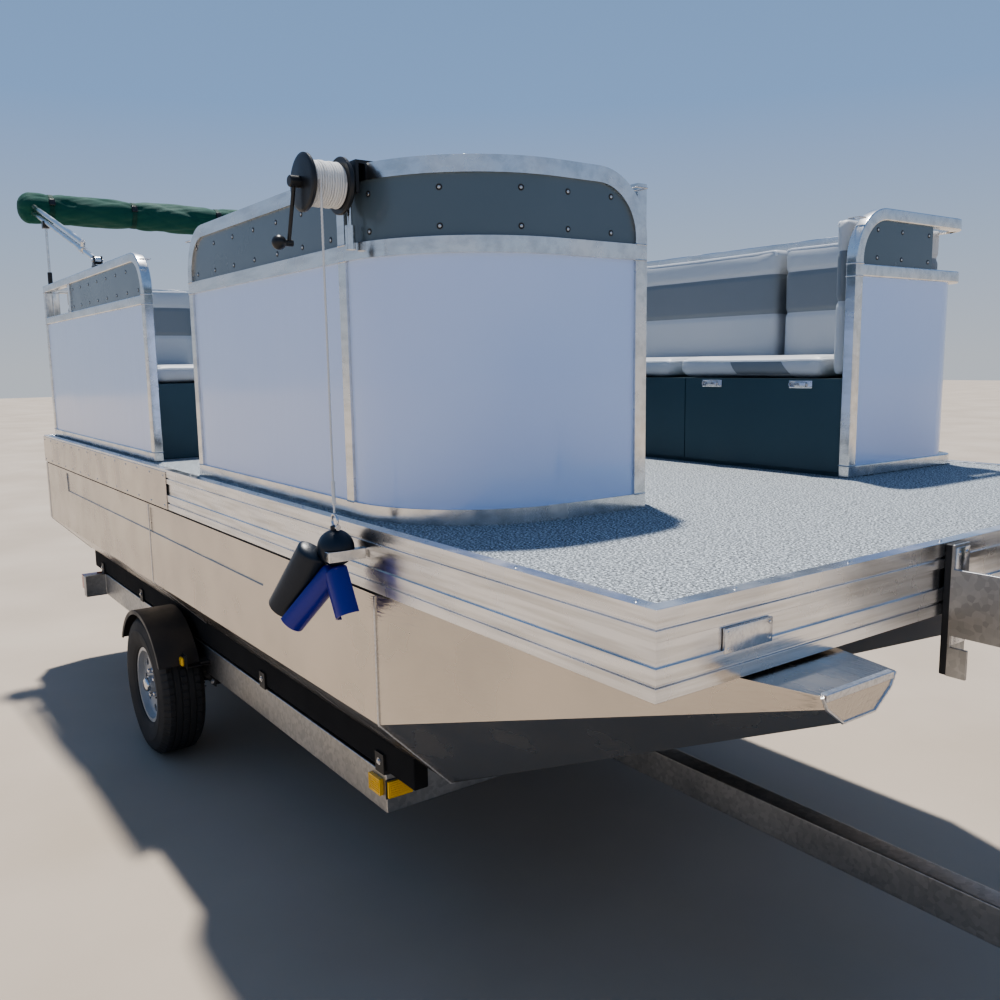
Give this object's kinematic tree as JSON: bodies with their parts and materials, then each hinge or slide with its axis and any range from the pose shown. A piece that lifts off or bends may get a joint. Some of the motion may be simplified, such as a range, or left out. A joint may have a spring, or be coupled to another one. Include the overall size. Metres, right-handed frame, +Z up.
{
  "type": "pontoon boat on trailer",
  "caption": "Open-deck aluminium pontoon boat with chined box hulls, fenced cockpit, seats, helm, folded canopy and anchor reel, parked on its two-wheel bunk trailer.",
  "frame": {"origin": "on the ground under the middle of the tongue jack's foot, in the boat's middle plane", "axes": "+X to the bow, +Y to port, +Z up"},
  "size_m": [6.5198, 2.4879, 2.6996],
  "materials": {
    "hull_metal": "mill-finish sheet, lightly rolled grain",
    "rail_metal": "bright extruded bar and square tube",
    "gasket": "black strip",
    "channel_metal": "plain mill extrusion",
    "deck_surface": "speckled grey vinyl floor",
    "skin_white": "glossy white coated sheet",
    "skin_dark": "dark blue-grey coated sheet",
    "seat_base": "dark teal moulded panel",
    "vinyl_light": "light grey upholstery vinyl with dark bands",
    "console": "white moulding with dark dash",
    "screen": "tinted acrylic",
    "black_plastic": "black moulding",
    "chair_metal": "dark powder coat",
    "boot_cloth": "green woven boat cover",
    "rope_white": "white braided line",
    "anchor_vinyl": "blue vinyl coating",
    "galvanised": "galvanised steel",
    "carpet": "black bunk carpet",
    "black_steel": "black painted steel",
    "lamp_amber": "amber lens",
    "lamp_red": "red lens",
    "tyre": "black tread rubber",
    "rim_metal": "silver painted steel wheel",
    "stop_rubber": "black bow stop rubber"
  },
  "bodies": {
    "boat": {"pontoon_starboard": "hull_metal", "pontoon_port": "hull_metal", "hull_gaskets": "gasket", "deck_channels": "channel_metal", "deck_sheet": "deck_surface", "deck_rail": "rail_metal", "rail_covers": "hull_metal", "fence_starboard_front": "rail_metal", "fence_starboard_rear": "rail_metal", "fence_port": "rail_metal", "fence_stern": "rail_metal", "fence_skins_white": "skin_white", "fence_skins_dark": "skin_dark", "motor_pod": "channel_metal", "helm_console": "console", "helm_screen": "screen", "throttle": "black_plastic", "bench_base": "seat_base", "bench_cushions": "vinyl_light", "bench_backs": "vinyl_light", "lounge_base": "seat_base", "lounge_cushion": "vinyl_light", "lounge_back": "vinyl_light", "reel_bracket": "black_plastic", "anchor_rope": "rope_white", "anchor": "anchor_vinyl", "anchor_davit": "rail_metal", "bimini_mounts": "black_plastic", "trailer_frame": "galvanised", "trailer_tongue": "galvanised", "trailer_bunks": "carpet", "bunk_brackets": "black_steel", "trailer_axle": "black_steel", "trailer_springs": "black_steel", "fenders": "black_steel", "lamps_amber": "lamp_amber", "lamps_red": "lamp_red", "winch_stand": "galvanised", "winch": "black_steel", "bow_stop_pads": "stop_rubber", "jack_leg": "galvanised", "jack_head": "galvanised", "coupler": "black_steel", "chair_pedestal": "chair_metal"},
    "bow_gate": {"bow_gate_frame": "rail_metal", "bow_gate_skins": "skin_white"},
    "side_gate": {"side_gate_frame": "rail_metal", "side_gate_skins": "skin_white"},
    "steering": {"steering_wheel": "black_plastic"},
    "chair": {"chair_frame": "chair_metal", "chair_cushions": "vinyl_light"},
    "bimini": {"bimini_frame": "rail_metal", "bimini_boot": "boot_cloth"},
    "reel": {"reel_spool": "black_plastic", "reel_rope": "rope_white"},
    "wheel_starboard": {"tyre_starboard": "tyre", "rim_starboard": "rim_metal"},
    "wheel_port": {"tyre_port": "tyre", "rim_port": "rim_metal"}
  },
  "joints": [
    {"name": "bow_gate_swing", "type": "hinge", "parent": "boat", "child": "bow_gate", "pos_m": [-1.349, -0.441, 1.72], "axis": [0, 0, -1], "range_deg": [0, 90]},
    {"name": "side_gate_swing", "type": "hinge", "parent": "boat", "child": "side_gate", "pos_m": [-2.866, -1.052, 1.72], "axis": [0, 0, 1], "range_deg": [0, 90]},
    {"name": "steering_turn", "type": "hinge", "parent": "boat", "child": "steering", "pos_m": [-1.84, -0.725, 1.965], "axis": [-0.8858, 0, 0.464], "range_deg": [-540, 540]},
    {"name": "chair_swivel", "type": "hinge", "parent": "boat", "child": "chair", "pos_m": [-2.495, -0.685, 1.58], "axis": [0, 0, 1], "continuous": true},
    {"name": "bimini_lift", "type": "hinge", "parent": "boat", "child": "bimini", "pos_m": [-4.202, 0, 2.168], "axis": [0, 1, 0], "range_deg": [0, 75]},
    {"name": "reel_turn", "type": "hinge", "parent": "boat", "child": "reel", "pos_m": [-1.61, -1.18, 2.09], "axis": [0, 1, 0], "continuous": true},
    {"name": "wheel_starboard_spin", "type": "hinge", "parent": "boat", "child": "wheel_starboard", "pos_m": [-3.66, -1.0575, 0.305], "axis": [0, 1, 0], "continuous": true},
    {"name": "wheel_port_spin", "type": "hinge", "parent": "boat", "child": "wheel_port", "pos_m": [-3.66, 1.0575, 0.305], "axis": [0, 1, 0], "continuous": true}
  ]
}
